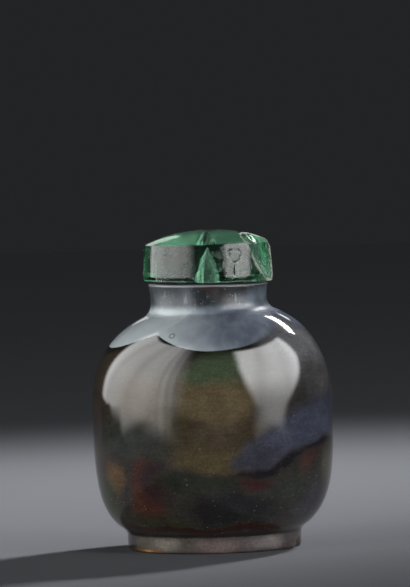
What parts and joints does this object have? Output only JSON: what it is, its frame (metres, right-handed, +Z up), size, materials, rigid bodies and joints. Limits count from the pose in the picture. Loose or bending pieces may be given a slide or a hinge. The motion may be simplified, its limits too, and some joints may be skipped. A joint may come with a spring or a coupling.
{
  "type": "snuff bottle",
  "caption": "Small squat glass snuff bottle, hollow, with a ring foot, short wide neck and narrow bore, closed by a cork under a domed green glass cap.",
  "frame": {"origin": "middle of the foot ring's contact plane", "axes": "+Z up along the bottle's axis, +X to the bottle's right across its broad side, -Y out of its front"},
  "size_m": [0.041, 0.036, 0.0542],
  "materials": {
    "bottle_glass": "polished, translucent, streaked brown, green and milky blue",
    "cap_glass": "polished, clear deep green",
    "cork": "matt, darkened cork"
  },
  "bodies": {
    "root": {"bottle": "bottle_glass", "glass_cap": "cap_glass", "cork_plug": "cork"}
  },
  "joints": []
}
